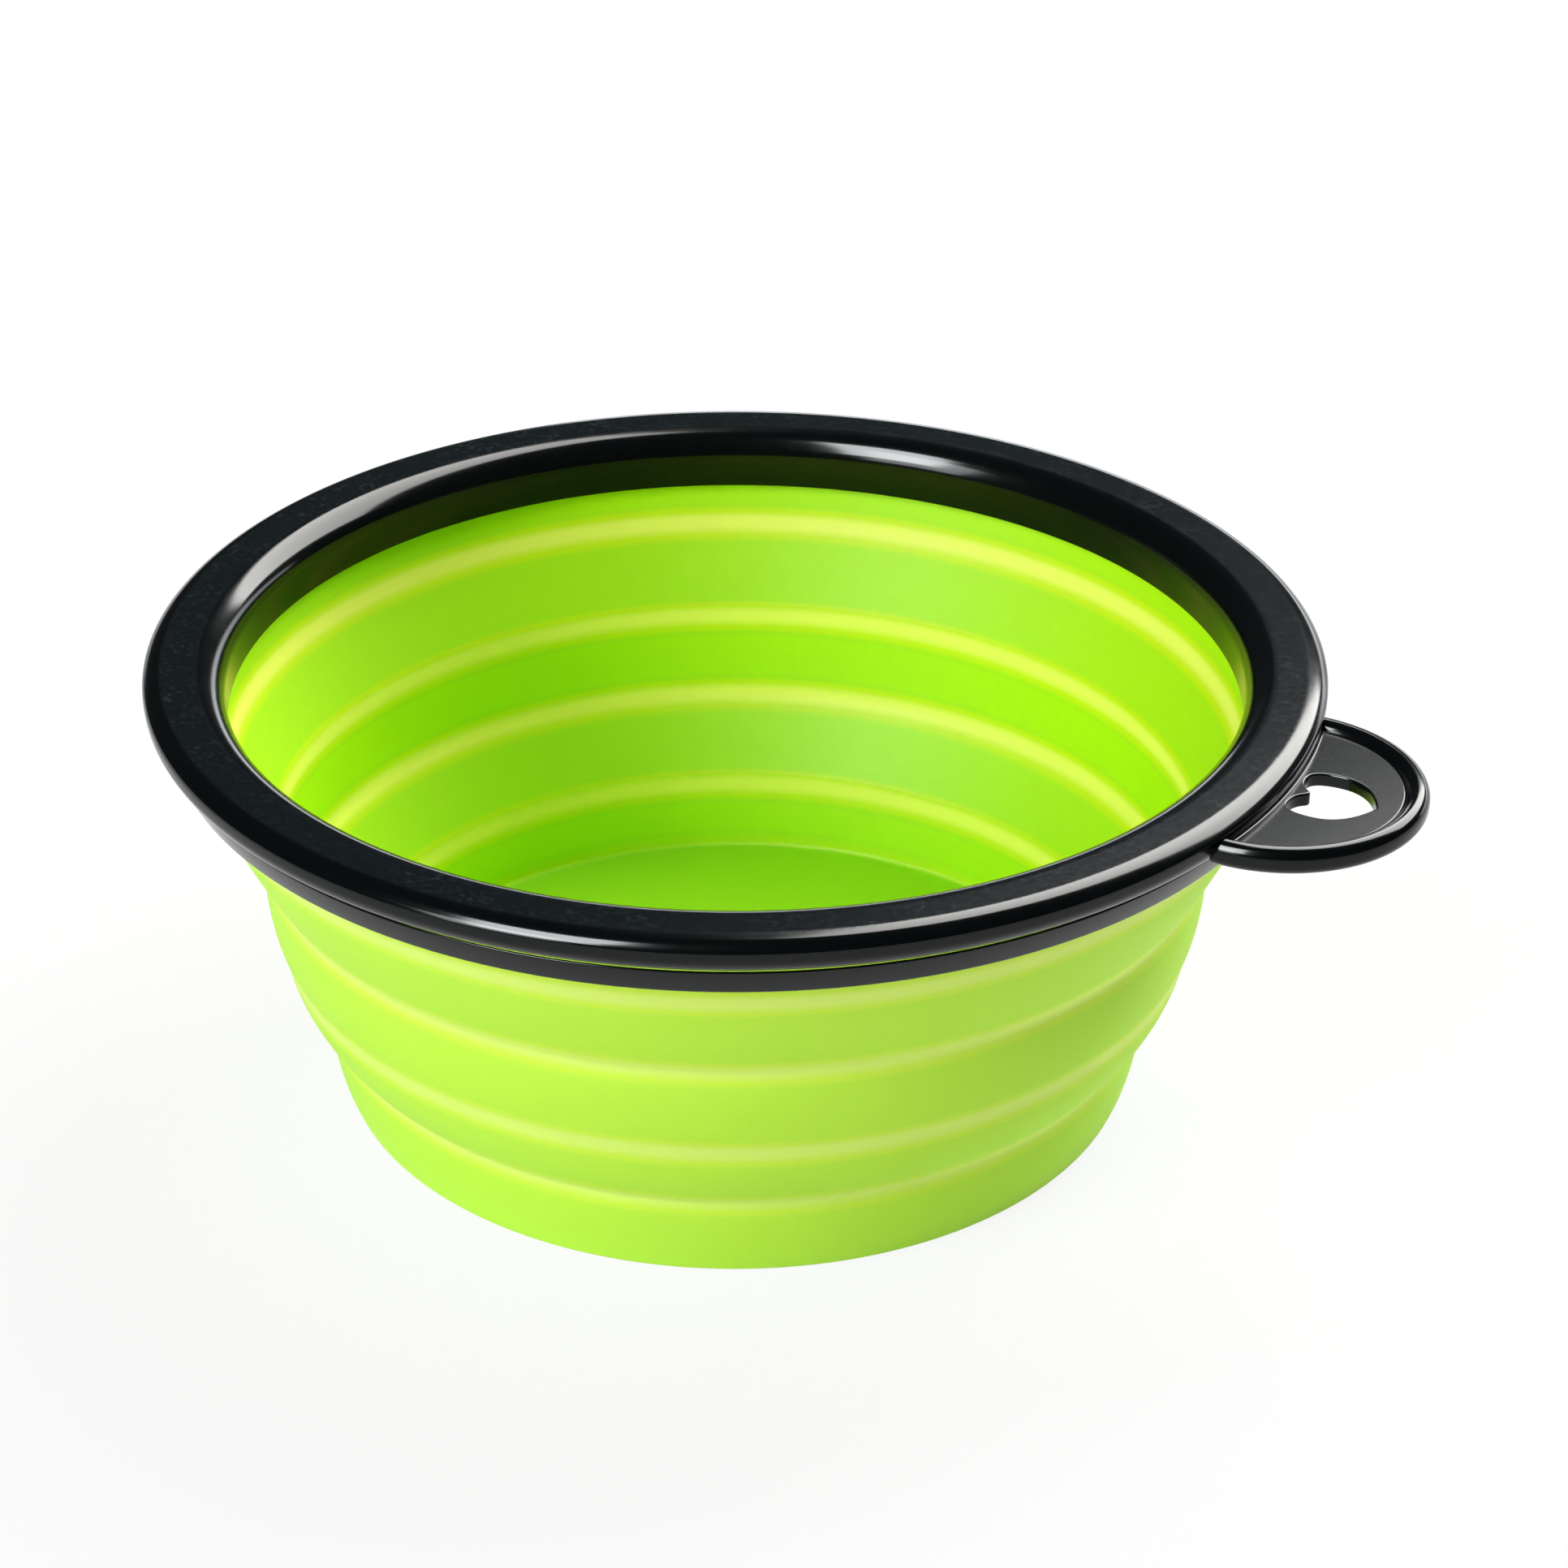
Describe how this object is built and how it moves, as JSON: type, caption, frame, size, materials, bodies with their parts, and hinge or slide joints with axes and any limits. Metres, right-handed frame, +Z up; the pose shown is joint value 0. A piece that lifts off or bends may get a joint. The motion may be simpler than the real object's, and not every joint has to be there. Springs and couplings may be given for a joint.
{
  "type": "folding pet bowl",
  "caption": "Folding silicone pet bowl with stepped walls that collapse flat, clamped in a rigid plastic rim with a hanging tab.",
  "frame": {"origin": "centre of the base's flat underside, where the bowl stands on the table", "axes": "+Z up along the bowl's axis, out of its mouth; +X from the axis towards the hanging tab"},
  "size_m": [0.1444, 0.13, 0.0527],
  "materials": {
    "rim_plastic": "glossy black moulded plastic with a finely textured matte top",
    "silicone": "lime green translucent silicone, satin"
  },
  "bodies": {
    "base": {"bowl_floor": "silicone", "base_band": "silicone"},
    "middle": {"middle_band": "silicone", "lower_fold": "silicone"},
    "rim": {"top_rim": "rim_plastic", "hang_tab": "rim_plastic", "clamp_ring": "rim_plastic", "silicone_lip": "silicone", "shoulder": "silicone", "upper_fold": "silicone"}
  },
  "joints": [
    {"name": "lower_collapse", "type": "slide", "parent": "base", "child": "middle", "axis": [0, 0, -1], "range_m": [0, 0.019], "deforming": ["lower_fold"]},
    {"name": "upper_collapse", "type": "slide", "parent": "middle", "child": "rim", "axis": [0, 0, -1], "range_m": [0, 0.022], "deforming": ["upper_fold"]}
  ]
}
